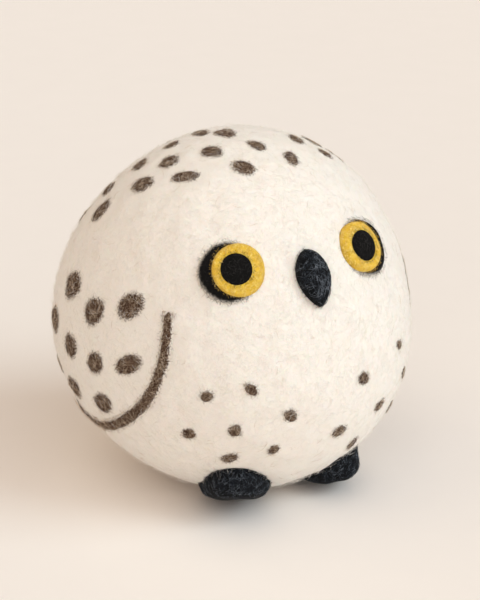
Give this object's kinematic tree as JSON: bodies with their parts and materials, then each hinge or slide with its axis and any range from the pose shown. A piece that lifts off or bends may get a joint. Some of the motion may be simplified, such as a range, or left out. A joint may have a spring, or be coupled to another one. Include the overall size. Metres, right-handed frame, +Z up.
{
  "type": "felted wool dog toy",
  "caption": "Soft felted wool ball for a dog in the shape of a snowy owl, with felt eyes, beak, feet, wing edges and spots.",
  "frame": {"origin": "middle of the flat that the ball stands on, on the gather under it", "axes": "+Z up; -Y the way the owl faces; -X its right side, the one that the picture shows"},
  "size_m": [0.1022, 0.0966, 0.1002],
  "materials": {
    "fleece": "matte needle-felted wool, cream white, with a short fuzz",
    "core_wool": "tightly wound undyed wool, matte",
    "marking_brown": "matte felted wool, brown mottled with pale fibres, soft edges",
    "slate_felt": "matte felted wool, near-black slate with blue-grey fibres",
    "black_felt": "matte felted wool, warm black",
    "yellow_felt": "matte felted wool, golden yellow"
  },
  "bodies": {
    "root": {"wool_core": "core_wool", "fleece_cover": "fleece", "base_gather": "fleece", "right_foot": "slate_felt", "left_foot": "slate_felt", "beak": "slate_felt", "right_eye_backing": "black_felt", "right_eye_iris": "yellow_felt", "right_eye_pupil": "black_felt", "left_eye_backing": "black_felt", "left_eye_iris": "yellow_felt", "left_eye_pupil": "black_felt", "right_wing_edge": "marking_brown", "right_wing_spot_1": "marking_brown", "right_wing_spot_2": "marking_brown", "right_wing_spot_3": "marking_brown", "right_wing_spot_4": "marking_brown", "right_wing_spot_5": "marking_brown", "right_wing_spot_6": "marking_brown", "right_wing_spot_7": "marking_brown", "right_wing_spot_8": "marking_brown", "right_wing_spot_9": "marking_brown", "left_wing_edge": "marking_brown", "left_wing_spot_1": "marking_brown", "left_wing_spot_2": "marking_brown", "left_wing_spot_3": "marking_brown", "left_wing_spot_4": "marking_brown", "left_wing_spot_5": "marking_brown", "left_wing_spot_6": "marking_brown", "left_wing_spot_7": "marking_brown", "left_wing_spot_8": "marking_brown", "left_wing_spot_9": "marking_brown", "crown_spot_1": "marking_brown", "crown_spot_2": "marking_brown", "crown_spot_3": "marking_brown", "crown_spot_4": "marking_brown", "crown_spot_5": "marking_brown", "crown_spot_6": "marking_brown", "crown_spot_7": "marking_brown", "crown_spot_8": "marking_brown", "crown_spot_9": "marking_brown", "crown_spot_10": "marking_brown", "crown_spot_11": "marking_brown", "crown_spot_12": "marking_brown", "crown_spot_13": "marking_brown", "crown_spot_14": "marking_brown", "crown_spot_15": "marking_brown", "belly_spot_1": "marking_brown", "belly_spot_2": "marking_brown", "belly_spot_3": "marking_brown", "belly_spot_4": "marking_brown", "belly_spot_5": "marking_brown", "belly_spot_6": "marking_brown", "belly_spot_7": "marking_brown", "belly_spot_8": "marking_brown", "belly_spot_9": "marking_brown", "belly_spot_10": "marking_brown", "belly_spot_11": "marking_brown", "belly_spot_12": "marking_brown", "belly_spot_13": "marking_brown"}
  },
  "joints": []
}
